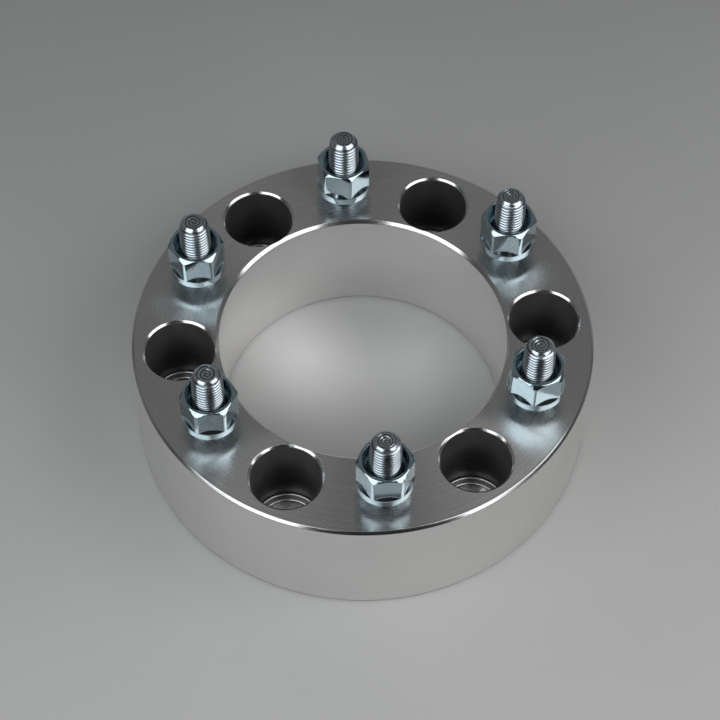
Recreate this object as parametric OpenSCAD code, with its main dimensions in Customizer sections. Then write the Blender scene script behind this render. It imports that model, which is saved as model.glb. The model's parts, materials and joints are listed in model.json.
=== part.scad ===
// Bolt-on wheel spacer: a turned ring that bolts to a hub through counterbored lug holes
// and carries its own press-in wheel studs, with a lug nut run down each stud.
// Millimetres. The origin is the centre of the hub face, and +Z points to the wheel.

/* [Ring] */
// Outside diameter of the ring
outer_d = 176; // [170:1:200]
// Thickness from the hub face to the wheel face
thickness = 50; // [40:1:80]
// Diameter of the centre bore
bore_d = 110; // [90:0.5:111]
// Chamfer on the two outside edges
outer_chamfer = 1; // [0.4:0.1:2]
// Chamfer on the two bore edges
bore_chamfer = 1.2; // [0.4:0.1:2]

/* [Bolt circle] */
// Pitch circle of the lug holes and of the wheel studs
pitch_d = 139.7; // [138:0.1:146]
// Number of lug holes, with as many wheel studs between them
lug_count = 6; // [4:1:6]
// Metal left under each lug counterbore and over each stud head
web_t = 16.5; // [12:0.5:20]

/* [Lug holes] */
// Counterbore that takes the lug nut and its socket
counterbore_d = 26.5; // [23:0.5:27.5]
// Chamfer on the counterbore's edge at the wheel face
counterbore_chamfer = 0.8; // [0.3:0.1:1.2]
// Wide end of the conical seat in the counterbore's floor
seat_d = 21; // [18:0.5:22.5]
// Through hole for the hub's own stud
lug_hole_d = 15; // [13:0.5:17]
// Chamfer where the through hole meets the hub face
lug_hole_chamfer = 0.5; // [0.2:0.1:1]
// Included angle of the seats in the ring and on the nuts
seat_angle = 60; // [60:5:90]

/* [Wheel studs] */
// Diameter over the thread's crests
thread_d = 11.85; // [10:0.05:13]
// Height of the stud's tip over the wheel face
stud_projection = 33; // [28:1:50]
// Length of the lead-in taper at the tip, along the stud
lead_len = 1.3; // [0.5:0.1:2]
// Depth of the lead-in taper, across the stud
lead_depth = 1.45; // [0.5:0.05:2]
// Radius of the dish that thread rolling leaves in the tip
dish_r = 2.6; // [1:0.1:3.2]
// Depth of that dish
dish_depth = 0.4; // [0.1:0.1:1]
// Height of the serrations over the thread's crests
serration_step = 0.7; // [0.4:0.05:1]
// Depth of each serration
serration_depth = 0.45; // [0.2:0.05:0.6]
// Length of the serrated shank
serration_len = 10; // [6:0.5:11]
// Number of serrations
serration_count = 36; // [24:1:48]
// Reach of the stud's head beyond the serrations
head_step = 3.4; // [2.5:0.1:4]
// Thickness of the stud's head
head_t = 4.5; // [3:0.5:8]
// Chamfer on the head's two edges
head_chamfer = 0.5; // [0.2:0.1:1]
// Gap around the head in its recess
head_gap = 1; // [0.5:0.1:2]
// Chamfer where the recess meets the hub face
recess_chamfer = 0.5; // [0.2:0.1:1]

/* [Lug nuts] */
// Width across the hexagon's flats
nut_af = 19; // [17:0.5:22]
// Height of the nut over the face that it stands on
nut_h = 20.5; // [18:0.5:30]
// Reach of the round collar beyond the flats
collar_step = 1.2; // [0.8:0.1:1.4]
// Height of the collar's upright band
collar_band = 3.2; // [1:0.1:5]
// Small chamfer under the collar's band
collar_chamfer = 0.25; // [0.1:0.05:0.6]
// Slope of the ledge from the collar up to the flats
ledge_angle = 55; // [15:5:60]
// Slope of the crown chamfer on the hexagon's corners
crown_angle = 45; // [15:5:50]
// Distance of the crown chamfer's start inside the flats
crown_inset = 0.3; // [0:0.05:0.8]
// Land of the nut's foot outside the stud hole
foot_land = 0.6; // [0.3:0.1:1]
// Chamfer where the thread enters the foot
foot_chamfer = 0.4; // [0.1:0.1:0.5]
// Gap between the stud's thread and the wide mouth at the top of the nut
mouth_gap = 2; // [1:0.1:2.2]
// Depth of the mouth
mouth_depth = 4.5; // [2:0.5:8]
// Slope of the mouth's floor down to the thread
mouth_slope = 30; // [10:5:45]
// Chamfer on the mouth's rim
mouth_chamfer = 0.55; // [0.2:0.05:0.7]

/* [Clearances] */
// Gap between the thread's crests and the nut
thread_gap = 0.1; // [0.05:0.05:0.2]
// Gap at the tips of the press-fit serrations
press_gap = 0.02; // [0.01:0.01:0.05]

/* [Hidden] */
$fn = 96;
// How far a cutter runs past the face that it opens
over = 1;
step_deg = 360 / lug_count;
// Angle of a wheel stud, half a step on from a lug hole
function stud_angle(i) = step_deg * (i + 0.5);
outer_r = outer_d / 2;
bore_r = bore_d / 2;
pitch_r = pitch_d / 2;

counterbore_r = counterbore_d / 2;
seat_r = seat_d / 2;
lug_hole_r = lug_hole_d / 2;
seat_slope = tan(seat_angle / 2);
seat_bottom = web_t - (seat_r - lug_hole_r) / seat_slope;

thread_r = thread_d / 2;
tip_z = thickness + stud_projection;
serration_r = thread_r + serration_step;
stud_hole_r = serration_r + press_gap;
head_r = serration_r + head_step;
recess_r = head_r + head_gap;
head_top = thickness - web_t;
head_bottom = head_top - head_t;

nut_bore_r = thread_r + thread_gap;
hex_sides = 6;
flat_r = nut_af / 2;
collar_r = flat_r + collar_step;
corner_r = flat_r / cos(180 / hex_sides);
foot_r = stud_hole_r + foot_land;
cone_top_r = collar_r - collar_chamfer;
cone_h = (cone_top_r - foot_r) / seat_slope;
band_bottom = cone_h + collar_chamfer;
band_top = band_bottom + collar_band;
crown_r = flat_r - crown_inset;
crown_drop = (collar_r - crown_r) * tan(crown_angle);
// The ledge's cone runs on a little inside the hexagon, to this radius
ledge_inner_r = flat_r - collar_step / 4;
ledge_top = band_top + (collar_r - ledge_inner_r) * tan(ledge_angle);
mouth_r = thread_r + mouth_gap;
mouth_floor = nut_h - mouth_depth;
mouth_cone = (mouth_r - nut_bore_r) * tan(mouth_slope);
// Turn of each nut from +X in degrees, as it was run down by hand
nut_turn = [47, 38, 1, 0, 59, 16];

ring_colour = [0.67, 0.66, 0.64];
stud_colour = [0.72, 0.75, 0.77];
nut_colour = [0.66, 0.71, 0.74];

stud_names = [for (i = [1:lug_count]) str("wheel_stud_", i)];
nut_names = [for (i = [1:lug_count]) str("lug_nut_", i)];

// Places a shape at one lug hole
module at_lug(i) {
  rotate(step_deg * i) translate([pitch_r, 0, 0]) children();
}

// Places a shape at one wheel stud
module at_stud(i) {
  rotate(stud_angle(i)) translate([pitch_r, 0, 0]) children();
}

// The turned blank: a square section with four chamfered edges
module ring_blank() {
  rotate_extrude()
    polygon([
      [bore_r + bore_chamfer, 0],
      [outer_r - outer_chamfer, 0],
      [outer_r, outer_chamfer],
      [outer_r, thickness - outer_chamfer],
      [outer_r - outer_chamfer, thickness],
      [bore_r + bore_chamfer, thickness],
      [bore_r, thickness - bore_chamfer],
      [bore_r, bore_chamfer]
    ]);
}

// Cutter for one lug hole: through hole, conical seat, flat floor, counterbore and edge chamfer
module lug_hole() {
  rotate_extrude()
    polygon([
      [0, -over],
      [lug_hole_r + lug_hole_chamfer + over, -over],
      [lug_hole_r, lug_hole_chamfer],
      [lug_hole_r, seat_bottom],
      [seat_r, web_t],
      [counterbore_r, web_t],
      [counterbore_r, thickness - counterbore_chamfer],
      [counterbore_r + counterbore_chamfer + over, thickness + over],
      [0, thickness + over]
    ]);
}

// Cutter for one stud: head recess from the hub face and a press-fit hole to the wheel face
module stud_hole() {
  rotate_extrude()
    polygon([
      [0, -over],
      [recess_r + recess_chamfer + over, -over],
      [recess_r, recess_chamfer],
      [recess_r, head_top],
      [stud_hole_r, head_top],
      [stud_hole_r, thickness + over],
      [0, thickness + over]
    ]);
}

module spacer_ring() {
  color(ring_colour)
    difference() {
      ring_blank();
      for (i = [0:lug_count - 1]) {
        at_lug(i) lug_hole();
        at_stud(i) stud_hole();
      }
    }
}

// Serrated shank: pointed teeth whose tips grip the press-fit hole
module serrations() {
  half = 180 / serration_count;
  root_r = serration_r - serration_depth;
  translate([0, 0, head_top])
    linear_extrude(serration_len)
      polygon([
        for (k = [0:serration_count - 1])
          for (tooth = [[serration_r, 0], [root_r, half]])
            let (a = 2 * half * k + tooth[1])
              tooth[0] * [cos(a), sin(a)]
      ]);
}

// Press-in stud: round head, serrated shank, thread body, tapered lead and dished tip
module wheel_stud() {
  color(stud_colour)
    union() {
      rotate_extrude()
        polygon([
          [0, head_bottom],
          [head_r - head_chamfer, head_bottom],
          [head_r, head_bottom + head_chamfer],
          [head_r, head_top - head_chamfer],
          [head_r - head_chamfer, head_top],
          [thread_r, head_top],
          [thread_r, tip_z - lead_len],
          [thread_r - lead_depth, tip_z],
          [dish_r, tip_z],
          [0, tip_z - dish_depth]
        ]);
      serrations();
    }
}

// Seat cone and round collar below the hexagon, with the ledge that runs up to the flats
module nut_collar() {
  rotate_extrude()
    polygon([
      [0, 0],
      [foot_r, 0],
      [cone_top_r, cone_h],
      [collar_r, band_bottom],
      [collar_r, band_top],
      [ledge_inner_r, ledge_top],
      [0, ledge_top]
    ]);
}

// Hexagon with its corners trimmed to the collar and its crown chamfered
module nut_hex() {
  intersection() {
    translate([0, 0, band_bottom])
      cylinder(r = corner_r, h = nut_h - band_bottom, $fn = hex_sides);
    rotate_extrude()
      polygon([
        [0, 0],
        [collar_r, 0],
        [collar_r, nut_h - crown_drop],
        [crown_r, nut_h],
        [0, nut_h]
      ]);
  }
}

// Cutter for the thread bore, its entry chamfer and the wide mouth
module nut_bore() {
  rotate_extrude()
    polygon([
      [0, -over],
      [nut_bore_r + foot_chamfer + over, -over],
      [nut_bore_r, foot_chamfer],
      [nut_bore_r, mouth_floor - mouth_cone],
      [mouth_r, mouth_floor],
      [mouth_r, nut_h - mouth_chamfer],
      [mouth_r + mouth_chamfer + over, nut_h + over],
      [0, nut_h + over]
    ]);
}

// Open-ended lug nut, standing on the wheel face
module lug_nut(turn) {
  color(nut_colour)
    translate([0, 0, thickness])
      rotate(turn)
        difference() {
          union() {
            nut_collar();
            nut_hex();
          }
          nut_bore();
        }
}

spacer_ring();
for (i = [0:lug_count - 1]) {
  at_stud(i) wheel_stud();
  at_stud(i) lug_nut(nut_turn[i] - stud_angle(i));
}
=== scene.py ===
"""Looks of a bolt-on wheel spacer: a turned aluminium ring with threaded studs and lug nuts."""
import json
import math

import bmesh
import bpy
from mathutils import Matrix, Vector


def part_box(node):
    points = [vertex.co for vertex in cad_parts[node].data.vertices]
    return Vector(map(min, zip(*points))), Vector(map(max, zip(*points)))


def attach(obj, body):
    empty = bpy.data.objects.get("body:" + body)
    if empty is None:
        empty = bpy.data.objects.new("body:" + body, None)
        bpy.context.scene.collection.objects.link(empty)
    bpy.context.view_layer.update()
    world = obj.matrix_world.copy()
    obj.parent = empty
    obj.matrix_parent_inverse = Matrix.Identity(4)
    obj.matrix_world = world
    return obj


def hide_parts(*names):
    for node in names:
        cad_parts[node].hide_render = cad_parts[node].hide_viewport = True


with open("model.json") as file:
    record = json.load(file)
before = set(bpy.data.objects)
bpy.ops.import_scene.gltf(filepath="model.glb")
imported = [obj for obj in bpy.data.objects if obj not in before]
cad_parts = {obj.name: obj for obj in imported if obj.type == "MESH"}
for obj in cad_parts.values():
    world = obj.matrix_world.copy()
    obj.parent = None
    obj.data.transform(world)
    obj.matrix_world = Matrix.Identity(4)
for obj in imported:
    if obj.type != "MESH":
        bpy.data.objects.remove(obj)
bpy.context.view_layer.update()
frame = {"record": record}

# Lengths of the part are in millimetres and become metres where a mesh is made
MM = 0.001
COUNT = 6
STUD_NODES = [f"wheel_stud_{i + 1}" for i in range(COUNT)]
NUT_NODES = [f"lug_nut_{i + 1}" for i in range(COUNT)]

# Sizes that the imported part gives
mounts = {m["name"]: m["dims"] for m in frame["record"]["mounts"]}
ring_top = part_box("spacer_ring")[1]
OUTER_R = ring_top.x / MM
THICKNESS = ring_top.z / MM
BORE_R = mounts["centre_bore"]["r_mm"]
PITCH_R = mounts["hub_lug_holes"]["pcd_mm"] / 2
LUG_HOLE_R = mounts["hub_lug_holes"]["hole_r_mm"]
THREAD_R = mounts["wheel_studs"]["stud_r_mm"]
HEAD_BOTTOM, TIP_Z = (corner.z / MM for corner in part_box(STUD_NODES[0]))
NUT_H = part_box(NUT_NODES[0])[1].z / MM - THICKNESS

# Ring sizes, as in the part's source
OUTER_CHAMFER = 1.0
BORE_CHAMFER = 1.2
WEB_T = 16.5
COUNTERBORE_R = 13.25
COUNTERBORE_CHAMFER = 0.8
SEAT_R = 10.5
SEAT_SLOPE = math.tan(math.radians(30))
HUB_CHAMFER = 0.5

# Stud sizes below the thread and the hole that takes them, as in the part's source
SERRATION_STEP = 0.7
SERRATION_R = THREAD_R + SERRATION_STEP
SERRATION_DEPTH = 0.45
SERRATION_LEN = 10.0
SERRATIONS = 36
HEAD_STEP = 3.4
HEAD_R = SERRATION_R + HEAD_STEP
HEAD_TOP = THICKNESS - WEB_T
HEAD_CHAMFER = 0.5
SHANK_TOP = HEAD_TOP + SERRATION_LEN
PRESS_GAP = 0.02
STUD_HOLE_R = SERRATION_R + PRESS_GAP
HEAD_GAP = 1.0
RECESS_R = HEAD_R + HEAD_GAP

# The thread, which starts above a plain neck. Near the tip its crests are lower by the run-in.
NECK_LEN = 1.0
THREAD_START = SHANK_TOP + NECK_LEN
PITCH = 1.5
THREAD_DEPTH = 0.85
ROOT_R = THREAD_R - THREAD_DEPTH
SHALLOWEST_THREAD = 0.75
RUN_IN_DEPTH = 0.9
RUN_IN_LEN = 4.0

# The tip: a lead taper that stays clean for a short length, and a dish with the tool's spiral scratches
TIP_R = 3.75
LEAD_SLOPE = 1.0
CLEAN_LEAD = 0.8
RUN_OUT_LEN = 0.6
DISH_R = 2.6
DISH_DEPTH = 0.4
SCRATCH_DEPTH = 0.2
SCRATCH_FADE = 0.4
CENTRE_FADE = 1.0
SPIRAL_SHARE = 0.65
SPIRAL_STEP = 1.1
SPIRAL_STEP_CHANGE = 0.1
SPIRAL_STEP_KINDS = 4

# Depth shares at which the painted shade in a groove or a scratch starts and is darkest
GROOVE_SHADE_SHARES = (2 / 9, 4 / 9)
SCRATCH_SHADE_SHARES = (3 / 7, 11 / 14)

# Nut sizes, as in the part's source, with each nut's turn about its stud in degrees
HEX_SIDES = 6
FLAT_R = 9.5
COLLAR_STEP = 1.2
COLLAR_R = FLAT_R + COLLAR_STEP
COLLAR_CHAMFER = 0.25
COLLAR_BAND = 3.2
FOOT_LAND = 0.6
FOOT_R = STUD_HOLE_R + FOOT_LAND
LEDGE_SLOPE = math.tan(math.radians(55))
CROWN_INSET = 0.3
CROWN_R = FLAT_R - CROWN_INSET
CROWN_SLOPE = math.tan(math.radians(45))
THREAD_GAP = 0.1
NUT_BORE_R = THREAD_R + THREAD_GAP
MOUTH_GAP = 2.0
MOUTH_R = THREAD_R + MOUTH_GAP
MOUTH_DEPTH = 4.5
MOUTH_SLOPE = math.tan(math.radians(30))
MOUTH_CHAMFER = 0.55
FOOT_CHAMFER = 0.4
NUT_TURNS = [47, 38, 1, 0, 59, 16]

# Lengths over which edges are eased
RING_EASE = 0.18
HOLE_MOUTH_EASE = 0.16
SEAT_FOOT_EASE = 0.14
SEAT_EASE = 0.6
COUNTERBORE_FLOOR_EASE = 0.8
RECESS_EASE = 0.14
STUD_HOLE_EASE = 0.1
HEAD_EASE = 0.2
HEX_EASE = 0.42

# Fineness of the meshes
RING_STEPS = 360
HOLE_STEPS = 96
EDGE_STEPS = 3
HOLE_EDGE_STEPS = 5
THREAD_ROWS = 8
TIP_RINGS = 40
FLAT_STEPS = 14
SHARP_ANGLE = math.radians(32)
# In metres
MERGE_REACH = 1e-7
CUT_MERGE_REACH = 5e-6

# Finishes of the ring, in the order of its material slots
FACE, WALL, BORED, CUT = range(4)

# Range that holds most of a noise texture's values
NOISE_RANGE = (0.3, 0.7)

# Stage, in metres
FLOOR_REACH = 4.0
FLOOR_DROP = 0.0001
LIGHT_DISTANCE = 0.65
COOL_WHITE = (0.93, 0.97, 1.0)
PALE_BLUE = (0.7, 0.85, 1.0)


# Outline and mesh helpers

def ramp(value, low, high):
    """Share from 0 to 1 that a value has covered of the way from low to high."""
    return min(1.0, max(0.0, (value - low) / (high - low)))


def eased(corners, steps=EDGE_STEPS, closed=True):
    """Points of an outline whose corners (r, z, ease) are rounded over ease on either side.

    A corner takes no more than a set share of either edge beside it.
    """
    most_share = 0.45
    points = []
    last = len(corners) - 1
    for k, (r, z, ease) in enumerate(corners):
        here = Vector((r, z))
        if ease == 0 or (not closed and k in (0, last)):
            points.append(here)
            continue
        before = Vector(corners[k - 1][:2]) - here
        after = Vector(corners[(k + 1) % len(corners)][:2]) - here
        start = here + before.normalized() * min(ease, most_share * before.length)
        end = here + after.normalized() * min(ease, most_share * after.length)
        for s in range(steps + 1):
            t = s / steps
            points.append((1 - t) ** 2 * start + 2 * t * (1 - t) * here + t * t * end)
    return points


def swung(outline, a):
    """Outline of (r, z) points as points in space, at the angle a about the Z axis."""
    return [(r * math.cos(a), r * math.sin(a), z) for r, z in outline]


def clean(mesh, reach):
    """Merges points closer than reach, drops faces without area and turns all faces outward."""
    thin_share = 0.1
    bm = bmesh.new()
    bm.from_mesh(mesh)
    bmesh.ops.remove_doubles(bm, verts=bm.verts, dist=reach)
    bmesh.ops.dissolve_degenerate(bm, edges=bm.edges, dist=reach * thin_share)
    bmesh.ops.recalc_face_normals(bm, faces=bm.faces)
    bm.to_mesh(mesh)
    bm.free()
    return mesh


def grid_mesh(name, columns, closed=True):
    """Mesh through columns of points in millimetres, of which the last lies on the first.

    A closed column is a loop. An open one starts and ends on the axis.
    """
    rows = len(columns[0])
    vertices = [Vector(p) * MM for column in columns for p in column]
    spans = rows if closed else rows - 1
    faces = []
    for j in range(len(columns) - 1):
        a = j * rows
        b = a + rows
        for k in range(spans):
            n = (k + 1) % rows
            faces.append((a + k, b + k, b + n, a + n))
    mesh = bpy.data.meshes.new(name)
    mesh.from_pydata(vertices, [], faces)
    return clean(mesh, MERGE_REACH)


def turned_mesh(name, outline, steps, closed=True):
    """Mesh of an outline of (r, z) points turned about the Z axis."""
    columns = [swung(outline, 2 * math.pi * j / steps) for j in range(steps + 1)]
    return grid_mesh(name, columns, closed)


def add_piece(name, mesh, node, slot, *materials):
    """Shows a mesh in place of a CAD node, with smooth faces between its sharp edges."""
    piece = bpy.data.objects.new(name, mesh)
    bpy.context.scene.collection.objects.link(piece)
    mesh.polygons.foreach_set("use_smooth", [True] * len(mesh.polygons))
    mesh.set_sharp_from_angle(angle=SHARP_ANGLE)
    for material in materials:
        mesh.materials.append(material)
    weighted = piece.modifiers.new("even_normals", "WEIGHTED_NORMAL")
    weighted.keep_sharp = True
    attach(piece, "root")
    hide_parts(node)


# Materials

class Nodes:
    """Builds the node tree of a material or a world step by step."""

    # A mix node has sockets for each kind of data, and these are its colours
    COLOUR_A = 6
    COLOUR_B = 7
    COLOUR_OUT = 2

    def __init__(self, owner):
        owner.use_nodes = True
        self.owner = owner
        self.tree = owner.node_tree

    def add(self, kind, inputs=None, **settings):
        """New node with its settings, and inputs that are numbers or other nodes' outputs."""
        node = self.tree.nodes.new(kind)
        for key, value in settings.items():
            setattr(node, key, value)
        for key, value in (inputs or {}).items():
            self.set(node.inputs[key], value)
        return node

    def set(self, socket, value):
        """Links an output to a socket, or sets a number on it."""
        if isinstance(value, bpy.types.NodeSocket):
            self.tree.links.new(value, socket)
        else:
            socket.default_value = value

    def place(self):
        """Place on the object, in metres."""
        return self.add("ShaderNodeTexCoord").outputs["Object"]

    def math(self, operation, a, b):
        """One number worked out from two."""
        return self.add("ShaderNodeMath", {0: a, 1: b}, operation=operation).outputs[0]

    def share(self, a, b, share):
        """Sum of a by its share and b by the rest."""
        return self.math("ADD", self.math("MULTIPLY", a, share), self.math("MULTIPLY", b, 1 - share))

    def vector(self, operation, a, b=(0, 0, 0)):
        """One vector worked out from one or two."""
        return self.add("ShaderNodeVectorMath", {0: a, 1: b}, operation=operation).outputs[0]

    def axes(self, vector):
        """X, Y and Z of a vector."""
        return self.add("ShaderNodeSeparateXYZ", {0: vector}).outputs

    def remap(self, value, low, high, to_low, to_high):
        """Number taken from one range to another, and held inside it."""
        inputs = {"Value": value, "From Min": low, "From Max": high, "To Min": to_low, "To Max": to_high}
        return self.add("ShaderNodeMapRange", inputs).outputs["Result"]

    def noise(self, value, scale, detail, dimensions="3D"):
        """Noise over a place, or over one number."""
        key = "W" if dimensions == "1D" else "Vector"
        inputs = {key: value, "Scale": scale, "Detail": detail}
        return self.add("ShaderNodeTexNoise", inputs, noise_dimensions=dimensions).outputs["Fac"]

    def blend(self, factor, a, b):
        """Colour between a and b."""
        node = self.add("ShaderNodeMix", {0: factor}, data_type="RGBA")
        self.set(node.inputs[self.COLOUR_A], a)
        self.set(node.inputs[self.COLOUR_B], b)
        return node.outputs[self.COLOUR_OUT]

    def bump(self, height, strength, distance):
        """Normal of a surface with fine relief."""
        inputs = {"Strength": strength, "Distance": distance, "Height": height}
        return self.add("ShaderNodeBump", inputs).outputs[0]

    def finish(self, shader="Principled BSDF", **inputs):
        """Sets the shader's own inputs and gives back the material or world."""
        for key, value in inputs.items():
            self.set(self.tree.nodes[shader].inputs[key.replace("_", " ")], value)
        return self.owner


def aluminium(name, shade, roughness, spread, lines_along, contrast, painted_depth_shade=0.0):
    """Turned aluminium. Its lathe lines follow each other along the radius or along the height.

    Spread is the anisotropy, and contrast is how far the tone varies to either side of the shade.
    The darkening is painted shade: the share of its tone that a hole loses down to the counterbore's
    floor.
    """
    fine_scale, broad_scale, patch_scale = 4200, 500, 30
    fine_share, line_share = 0.6, 0.5
    line_range = (0.2, 0.8)
    line_strength, line_height = 0.03, 0.00004
    gloss_change = 0.02
    painted_shade_tone = (0.02, 0.02, 0.02, 1)
    metal = Vector((0.76, 0.75, 0.74)) * shade
    up = (0, 0, 1)
    n = Nodes(bpy.data.materials.new(name))
    place = n.place()
    if lines_along == "radius":
        flat = n.vector("MULTIPLY", place, (1, 1, 0))
        across = n.add("ShaderNodeVectorMath", {0: flat}, operation="LENGTH").outputs["Value"]
        round_axis = n.vector("CROSS_PRODUCT", up, place)
    else:
        across = n.axes(place)["Z"]
        normal = n.add("ShaderNodeNewGeometry").outputs["True Normal"]
        # The small step keeps the axis from vanishing on a level face
        round_axis = n.vector("ADD", n.vector("CROSS_PRODUCT", up, normal), (0.001, 0, 0))
    fine = n.noise(across, fine_scale, detail=2.0, dimensions="1D")
    broad = n.noise(across, broad_scale, detail=2.0, dimensions="1D")
    lines = n.share(fine, broad, fine_share)
    tone = n.share(lines, n.noise(place, patch_scale, detail=3.0), line_share)
    dark = (*(metal * (1 - contrast)), 1)
    light = (*(metal * (1 + contrast)), 1)
    colour = n.blend(n.remap(tone, *NOISE_RANGE, 0.0, 1.0), dark, light)
    # Painted shade that deepens down a hole toward the counterbore's floor
    if painted_depth_shade:
        depth = n.remap(n.axes(place)["Z"], THICKNESS * MM, WEB_T * MM, 0.0, painted_depth_shade)
        colour = n.blend(depth, colour, painted_shade_tone)
    uneven = n.math("ADD", roughness, n.remap(lines, *line_range, -gloss_change, gloss_change))
    return n.finish(
        Base_Color=colour, Metallic=1.0, Roughness=uneven, Anisotropic=spread, Anisotropic_Rotation=0.25,
        Tangent=n.vector("NORMALIZE", round_axis), Normal=n.bump(lines, line_strength, line_height))


def bright_zinc(name, dark, light, rough_low, rough_high):
    """Blue-white zinc plating with a cloudy tint and uneven gloss, darkened by painted shade in the
    thread's grooves and the tip's scratches.
    """
    cloud_scale, speck_scale = 160, 1400
    cloud_share = 0.75
    speck_strength, speck_height = 0.08, 0.00005
    painted_groove_tone = (0.14, 0.16, 0.18, 1)
    n = Nodes(bpy.data.materials.new(name))
    place = n.place()
    cloud = n.noise(place, cloud_scale, detail=4.0)
    speck = n.noise(place, speck_scale, detail=2.0)
    tint = n.remap(n.share(cloud, speck, cloud_share), *NOISE_RANGE, 0.0, 1.0)
    groove = n.add("ShaderNodeAttribute", attribute_name="groove").outputs["Fac"]
    # Painted shade in the thread's grooves and the tip's scratches
    colour = n.blend(groove, n.blend(tint, (*dark, 1), (*light, 1)), painted_groove_tone)
    roughness = n.remap(cloud, *NOISE_RANGE, rough_low, rough_high)
    return n.finish(
        Base_Color=colour, Metallic=1.0, Roughness=roughness,
        Normal=n.bump(speck, speck_strength, speck_height))


def pale_floor():
    """Plain pale floor with a faint uneven tone, and painted light that makes it lighter toward the
    front.
    """
    back_y, front_y = 0.25, -0.2
    slope_share = 0.6
    cloud_scale = 9
    shaded_back_tone = (0.405, 0.41, 0.415, 1)
    lit_front_tone = (0.57, 0.565, 0.555, 1)
    n = Nodes(bpy.data.materials.new("pale_floor"))
    place = n.place()
    # Painted light: the floor grows lighter toward the front
    painted_front_light = n.remap(n.axes(place)["Y"], back_y, front_y, 0.0, 1.0)
    tone = n.share(painted_front_light, n.noise(place, cloud_scale, detail=3.0), slope_share)
    return n.finish(Base_Color=n.blend(tone, shaded_back_tone, lit_front_tone), Roughness=0.9)


# Ring

def ring_blank():
    """The turned blank, with eased edges on its four chamfers."""
    inner = BORE_R + BORE_CHAMFER
    outer = OUTER_R - OUTER_CHAMFER
    section = [
        (inner, 0),
        (outer, 0),
        (OUTER_R, OUTER_CHAMFER),
        (OUTER_R, THICKNESS - OUTER_CHAMFER),
        (outer, THICKNESS),
        (inner, THICKNESS),
        (BORE_R, THICKNESS - BORE_CHAMFER),
        (BORE_R, BORE_CHAMFER),
    ]
    return turned_mesh("ring", eased([(r, z, RING_EASE) for r, z in section]), RING_STEPS)


def hole_mouth(radius, chamfer, face_z, up):
    """Outline of a hole's chamfered mouth, from its wall to just outside the face.

    Up is 1 at the wheel face and -1 at the hub face.
    """
    # The chamfer ends a little under the face, and a slight slope leads on from there to outside it
    sink = 0.05
    over = 0.6
    lean = math.tan(math.radians(15))
    edge_z = face_z - up * sink
    return [
        (radius, face_z - up * chamfer, HOLE_MOUTH_EASE),
        (radius + chamfer, edge_z, HOLE_MOUTH_EASE),
        (radius + chamfer + over, edge_z + up * over * lean, 0),
    ]


def lug_hole():
    """Outline of a lug hole's cutter, from the hub face up."""
    seat_bottom = WEB_T - (SEAT_R - LUG_HOLE_R) / SEAT_SLOPE
    foot = hole_mouth(LUG_HOLE_R, HUB_CHAMFER, 0, -1)
    head = hole_mouth(COUNTERBORE_R, COUNTERBORE_CHAMFER, THICKNESS, 1)
    return [
        (0, foot[-1][1], 0),
        *reversed(foot),
        (LUG_HOLE_R, seat_bottom, SEAT_FOOT_EASE),
        (SEAT_R, WEB_T, SEAT_EASE),
        (COUNTERBORE_R, WEB_T, COUNTERBORE_FLOOR_EASE),
        *head,
        (0, head[-1][1], 0),
    ]


def stud_hole():
    """Outline of a stud hole's cutter: head recess from the hub face and press-fit hole."""
    over = 1.0
    foot = hole_mouth(RECESS_R, HUB_CHAMFER, 0, -1)
    return [
        (0, foot[-1][1], 0),
        *reversed(foot),
        (RECESS_R, HEAD_TOP, RECESS_EASE),
        (STUD_HOLE_R, HEAD_TOP, STUD_HOLE_EASE),
        (STUD_HOLE_R, THICKNESS + over, 0),
        (0, THICKNESS + over, 0),
    ]


def hole_cutter(outline, degrees):
    """Mesh of one hole's cutter, out on the pitch circle at an angle."""
    cutter = turned_mesh("hole", eased(outline, HOLE_EDGE_STEPS), HOLE_STEPS, closed=False)
    turn = Matrix.Rotation(math.radians(degrees), 4, "Z")
    cutter.transform(turn @ Matrix.Translation((PITCH_R * MM, 0, 0)))
    return cutter


def cut_ring():
    """Blank with its lug holes and stud holes cut out."""
    blank = bpy.data.objects.new("blank", ring_blank())
    cutters = bmesh.new()
    step = 360 / COUNT
    for i in range(COUNT):
        cutters.from_mesh(hole_cutter(lug_hole(), step * i))
        cutters.from_mesh(hole_cutter(stud_hole(), step * (i + 0.5)))
    holes = bpy.data.meshes.new("holes")
    cutters.to_mesh(holes)
    cutters.free()
    tool = bpy.data.objects.new("holes", holes)
    for part in (blank, tool):
        bpy.context.scene.collection.objects.link(part)
    cut = blank.modifiers.new("cut", "BOOLEAN")
    cut.operation = "DIFFERENCE"
    cut.solver = "EXACT"
    cut.object = tool
    graph = bpy.context.evaluated_depsgraph_get()
    mesh = bpy.data.meshes.new_from_object(blank.evaluated_get(graph))
    for part in (blank, tool):
        bpy.data.objects.remove(part)
    mesh.materials.clear()
    return clean(mesh, CUT_MERGE_REACH)


def ring_finish(polygon):
    """Finish of one of the ring's polygons, from its place and from how far it leans from upright."""
    face_lean = 0.95
    cut_lean = 0.3
    face_band = 0.1
    past_chamfer = 1.1
    lean = abs(polygon.normal.z)
    z = polygon.center.z / MM
    r = polygon.center.xy.length / MM
    if lean > face_lean and min(z, THICKNESS - z) < face_band:
        return FACE
    if lean >= cut_lean:
        return CUT
    in_hole = BORE_R + past_chamfer * BORE_CHAMFER < r < OUTER_R - past_chamfer * OUTER_CHAMFER
    return BORED if in_hole else WALL


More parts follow.
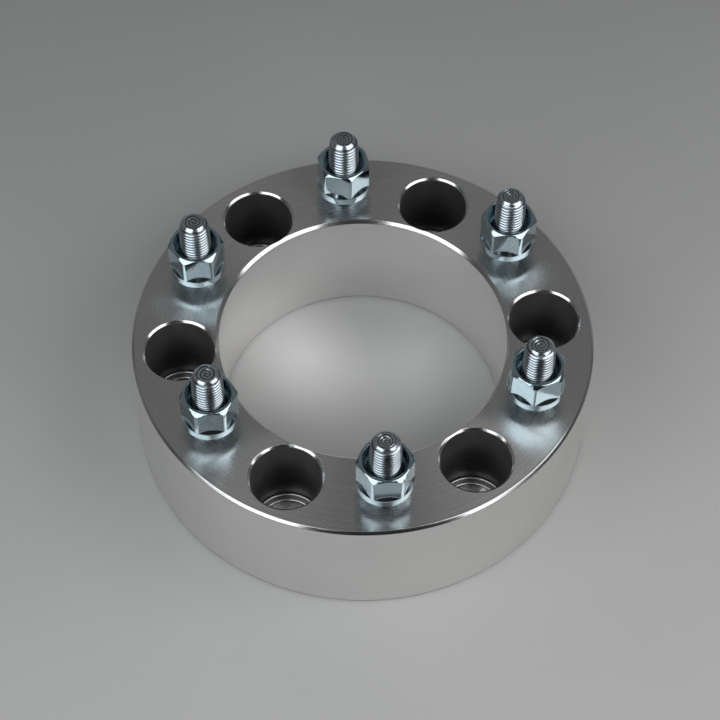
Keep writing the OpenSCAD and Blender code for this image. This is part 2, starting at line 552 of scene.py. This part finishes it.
def add_ring():
    """The ring, with its own finish on flat faces, turned walls, hole walls with painted shade, and cut
    edges and floors.
    """
    finishes = {
        FACE: aluminium(
            "turned_face", shade=0.97, roughness=0.27, spread=0.9, lines_along="radius", contrast=0.05),
        WALL: aluminium(
            "turned_wall", shade=1.1, roughness=0.30, spread=0.5, lines_along="height", contrast=0.05),
        # Hole walls: their low shade is partly a coarser bored finish and partly painted shade, and more
        # painted shade deepens down to the counterbore's floor
        BORED: aluminium(
            "bored_hole", shade=0.72, roughness=0.45, spread=0.0, lines_along="height", contrast=0.35,
            painted_depth_shade=0.92),
        CUT: aluminium(
            "cut_edge", shade=0.9, roughness=0.16, spread=0.0, lines_along="height", contrast=0.1),
    }
    mesh = cut_ring()
    for polygon in mesh.polygons:
        polygon.material_index = ring_finish(polygon)
    add_piece("turned_ring", mesh, "spacer_ring", "ring_aluminium", *finishes.values())


# Studs

def crest_r(z):
    """Radius over the thread's crests, which grow from the lead taper to their full height."""
    depth = TIP_Z - z
    lead_r = TIP_R + LEAD_SLOPE * depth
    run_in_r = THREAD_R - RUN_IN_DEPTH * math.exp(-depth / RUN_IN_LEN)
    return min(lead_r, run_in_r)


def thread_point(phase, lead_in):
    """Point of the thread's wave, which fades in over the first pitch and runs out on the lead."""
    z = min(max(THREAD_START, THREAD_START + PITCH * (phase + lead_in)), TIP_Z)
    crest = crest_r(z)
    run_out = ramp(TIP_Z - z, CLEAN_LEAD, CLEAN_LEAD + RUN_OUT_LEN)
    groove_depth = run_out * max(crest - ROOT_R, SHALLOWEST_THREAD)
    fade_in = ramp(z, THREAD_START, THREAD_START + PITCH)
    wave = fade_in * (0.5 + 0.5 * math.cos(2 * math.pi * phase))
    return crest - groove_depth * (1 - wave), z


def scratch(r, a, index):
    """Depth share of the spiral and the flecks that the cutting tool leaves on one stud's tip."""
    step = SPIRAL_STEP + SPIRAL_STEP_CHANGE * (index % SPIRAL_STEP_KINDS)
    spiral = 0.5 - 0.5 * math.cos(2 * math.pi * r / step - a - index)
    # Two waves of different slant cross each other and leave flecks
    fleck = 0.5 + 0.5 * math.sin(3 * a + 5 * r + index) * math.sin(8 * a - 4 * r)
    return SPIRAL_SHARE * spiral + (1 - SPIRAL_SHARE) * fleck


def end_point(r, a, index):
    """Point of the tip's face: a shallow dish under the tool's scratches."""
    dish = DISH_DEPTH * max(0.0, 1 - r / DISH_R)
    fade = ramp(TIP_R - r, 0, SCRATCH_FADE) * ramp(r, 0, CENTRE_FADE)
    return r, TIP_Z - dish - SCRATCH_DEPTH * fade * scratch(r, a, index)


def paint_groove_shade(mesh, index):
    """Paints shade into the thread's grooves and the tip's scratches: how dark each point of them is."""
    groove = mesh.attributes.new("groove", "FLOAT", "POINT")
    for vertex, shade_value in zip(mesh.vertices, groove.data):
        r = vertex.co.xy.length / MM
        z = vertex.co.z / MM
        if z <= THREAD_START:
            continue
        if r > TIP_R:
            shade_value.value = ramp((crest_r(z) - r) / THREAD_DEPTH, *GROOVE_SHADE_SHARES)
        else:
            a = math.atan2(vertex.co.y, vertex.co.x)
            shade_value.value = ramp(scratch(r, a, index), *SCRATCH_SHADE_SHARES)


def stud_mesh(name, index):
    """Press-in stud with its head, serrated shank, rolled thread, lead taper and dished tip."""
    head = eased([
        (0, HEAD_BOTTOM, 0),
        (HEAD_R - HEAD_CHAMFER, HEAD_BOTTOM, HEAD_EASE),
        (HEAD_R, HEAD_BOTTOM + HEAD_CHAMFER, HEAD_EASE),
        (HEAD_R, HEAD_TOP - HEAD_CHAMFER, HEAD_EASE),
        (HEAD_R - HEAD_CHAMFER, HEAD_TOP, HEAD_EASE),
        (SERRATION_R, HEAD_TOP, 0),
    ], closed=False)
    # Rows run from two turns below the thread's start, where they are held, to a turn past the tip
    turns = math.ceil((TIP_Z - THREAD_START) / PITCH) + 1
    thread_rows = range(-2 * THREAD_ROWS, turns * THREAD_ROWS)
    steps = 2 * SERRATIONS
    columns = []
    for j in range(steps + 1):
        a = 2 * math.pi * j / steps
        lead_in = j / steps + index / COUNT
        tooth_r = SERRATION_R - SERRATION_DEPTH * (j % 2)
        profile = [(p.x, p.y) for p in head[:-1]]
        profile += [(tooth_r, HEAD_TOP), (tooth_r, SHANK_TOP)]
        profile += [(ROOT_R, SHANK_TOP), (ROOT_R, THREAD_START)]
        profile += [thread_point(k / THREAD_ROWS, lead_in) for k in thread_rows]
        profile += [end_point(TIP_R * (1 - k / TIP_RINGS), a, index) for k in range(1, TIP_RINGS + 1)]
        columns.append(swung(profile, a))
    mesh = grid_mesh(name, columns, closed=False)
    # Painted shade for the grooves and the scratches
    paint_groove_shade(mesh, index)
    return mesh


# Nuts

def hex_outline():
    """Angle and radius of points round the hexagon, whose corners are trimmed to the collar and eased."""
    half = math.pi / HEX_SIDES
    trim = math.acos(FLAT_R / COLLAR_R)
    points = []
    for side in range(HEX_SIDES):
        middle = (2 * side + 1) * half
        for k in range(FLAT_STEPS + 1):
            a = trim * (2 * k / FLAT_STEPS - 1)
            r = FLAT_R / math.cos(a)
            ease = HEX_EASE if k in (0, FLAT_STEPS) else 0
            points.append((r * math.cos(middle + a), r * math.sin(middle + a), ease))
    return [(math.atan2(p.y, p.x), p.length) for p in eased(points)]


def nut_section(wall_r):
    """Outline of the nut's section where the hexagon's wall stands at wall_r."""
    # Lengths over which its edges are eased
    crisp, fine, small, medium, wide, broad = 0.1, 0.12, 0.15, 0.2, 0.25, 0.3
    cone_top_r = COLLAR_R - COLLAR_CHAMFER
    cone_h = (cone_top_r - FOOT_R) / SEAT_SLOPE
    band_bottom = cone_h + COLLAR_CHAMFER
    band_top = band_bottom + COLLAR_BAND
    ledge_top = band_top + (COLLAR_R - wall_r) * LEDGE_SLOPE
    crown_bottom = NUT_H - (wall_r - CROWN_R) * CROWN_SLOPE
    mouth_floor = NUT_H - MOUTH_DEPTH
    bore_top = mouth_floor - (MOUTH_R - NUT_BORE_R) * MOUTH_SLOPE
    return eased([
        (NUT_BORE_R + FOOT_CHAMFER, 0, crisp),
        (FOOT_R, 0, small),
        (cone_top_r, cone_h, crisp),
        (COLLAR_R, band_bottom, medium),
        (COLLAR_R, band_top, wide),
        (wall_r, ledge_top, medium),
        (wall_r, crown_bottom, fine),
        (CROWN_R, NUT_H, broad),
        (MOUTH_R + MOUTH_CHAMFER, NUT_H, fine),
        (MOUTH_R, NUT_H - MOUTH_CHAMFER, small),
        (MOUTH_R, mouth_floor, broad),
        (NUT_BORE_R, bore_top, crisp),
        (NUT_BORE_R, FOOT_CHAMFER, crisp),
    ])


def nut_mesh(name):
    """Open-ended lug nut standing at the origin, with a flat facing 30 degrees off +X."""
    columns = [swung(nut_section(wall_r), a) for a, wall_r in hex_outline()]
    return grid_mesh(name, columns + columns[:1])


def add_fasteners():
    """A threaded stud and a nut in place of each CAD pair."""
    stud_zinc = bright_zinc(
        "stud_zinc", dark=(0.53, 0.61, 0.65), light=(0.65, 0.73, 0.77), rough_low=0.18, rough_high=0.27)
    nut_zinc = bright_zinc(
        "nut_zinc", dark=(0.42, 0.55, 0.61), light=(0.54, 0.66, 0.72), rough_low=0.08, rough_high=0.15)
    for i in range(COUNT):
        low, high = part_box(STUD_NODES[i])
        stand = Vector(((low.x + high.x) / 2, (low.y + high.y) / 2, 0))
        stud = stud_mesh(f"threaded_stud_{i + 1}", i)
        stud.transform(Matrix.Translation(stand))
        add_piece(f"threaded_stud_{i + 1}", stud, STUD_NODES[i], "stud_zinc", stud_zinc)
        nut = nut_mesh(f"hex_nut_{i + 1}")
        stand.z = THICKNESS * MM
        turn = Matrix.Rotation(math.radians(NUT_TURNS[i]), 4, "Z")
        nut.transform(Matrix.Translation(stand) @ turn)
        add_piece(f"hex_nut_{i + 1}", nut, NUT_NODES[i], "nut_zinc", nut_zinc)


# Stage

def add_floor():
    """Wide floor a hair below the ring."""
    mesh = bpy.data.meshes.new("floor")
    signs = [(-1, -1), (1, -1), (1, 1), (-1, 1)]
    corners = [(FLOOR_REACH * x, FLOOR_REACH * y, 0) for x, y in signs]
    mesh.from_pydata(corners, [], [(0, 1, 2, 3)])
    mesh.materials.append(pale_floor())
    floor = bpy.data.objects.new("floor", mesh)
    floor.location.z = -FLOOR_DROP
    bpy.context.scene.collection.objects.link(floor)


def place_light(name, lamp, azimuth, elevation):
    """Aims a light at the middle of the wheel face. Azimuth 0 is in front and turns to the right."""
    a = math.radians(azimuth)
    e = math.radians(elevation)
    away = Vector((math.sin(a) * math.cos(e), -math.cos(a) * math.cos(e), math.sin(e)))
    light = bpy.data.objects.new(name, lamp)
    light.location = away * LIGHT_DISTANCE + Vector((0, 0, THICKNESS * MM))
    light.rotation_mode = "QUATERNION"
    light.rotation_quaternion = away.to_track_quat("Z", "Y")
    bpy.context.scene.collection.objects.link(light)
    return light


def add_softbox(name, azimuth, elevation, width, height, radiance, colour=(1, 1, 1)):
    """Rectangular soft light that faces the ring."""
    lamp = bpy.data.lights.new(name, "AREA")
    lamp.shape = "RECTANGLE"
    lamp.size = width
    lamp.size_y = height
    lamp.energy = radiance * math.pi * width * height
    lamp.color = colour
    return place_light(name, lamp, azimuth, elevation)


def add_beam(name, azimuth, elevation, energy):
    """Narrow soft light that falls into the bore only."""
    lamp = bpy.data.lights.new(name, "SPOT")
    lamp.spot_size = math.radians(3.4)
    lamp.spot_blend = 1.0
    lamp.shadow_soft_size = 0.018
    lamp.energy = energy
    place_light(name, lamp, azimuth, elevation)


def add_lights():
    """Two large lights at the sides in front, smaller ones between them, and two beams into the bore."""
    add_softbox(
        "left_softbox", azimuth=-54, elevation=42, width=0.525, height=0.53, radiance=1.95,
        colour=COOL_WHITE)
    add_softbox("right_softbox", azimuth=59, elevation=42, width=0.59, height=0.53, radiance=2.05)
    add_softbox(
        "small_light", azimuth=-20, elevation=34, width=0.042, height=0.042, radiance=1.5,
        colour=PALE_BLUE)
    add_softbox("front_strip", azimuth=0, elevation=60, width=0.2, height=0.09, radiance=0.6)
    # The fill lifts the floor and isn't mirrored in the metal
    fill = add_softbox("fill", azimuth=-7, elevation=54, width=0.24, height=0.24, radiance=3.2)
    fill.visible_glossy = False
    add_beam("right_beam", azimuth=38, elevation=55, energy=17)
    add_beam("left_beam", azimuth=-50, elevation=60, energy=7)


def add_world():
    """Dim studio: dark in front, where the camera stands, and grey behind the ring."""
    front_y, back_y = -0.25, 0.35
    front_level, back_level = 0.02, 0.145
    bpy.context.scene.world = bpy.data.worlds.new("studio")
    n = Nodes(bpy.context.scene.world)
    back = n.axes(n.add("ShaderNodeTexCoord").outputs["Generated"])["Y"]
    level = n.remap(back, front_y, back_y, front_level, back_level)
    n.finish("Background", Color=n.blend(level, (0, 0, 0, 1), (1, 1, 1, 1)))


def add_camera():
    """Camera at the photograph's place, looking down into the ring."""
    place = Vector((-58.27, -462.89, 697.13)) * MM
    right = Vector((0.99383, -0.11063, 0.0086))
    ahead = Vector((0.07059, 0.57046, -0.81829))
    lens = bpy.data.cameras.new("camera")
    lens.sensor_width = 36
    lens.lens = 104.62
    lens.clip_start = 0.01
    camera = bpy.data.objects.new("camera", lens)
    up = right.cross(ahead)
    turn = Matrix((right, up, -ahead)).transposed()
    camera.matrix_world = Matrix.Translation(place) @ turn.to_4x4()
    bpy.context.scene.collection.objects.link(camera)
    bpy.context.scene.camera = camera


add_ring()
add_fasteners()
add_floor()
add_lights()
add_world()
add_camera()
bpy.context.scene.view_settings.view_transform = "Standard"
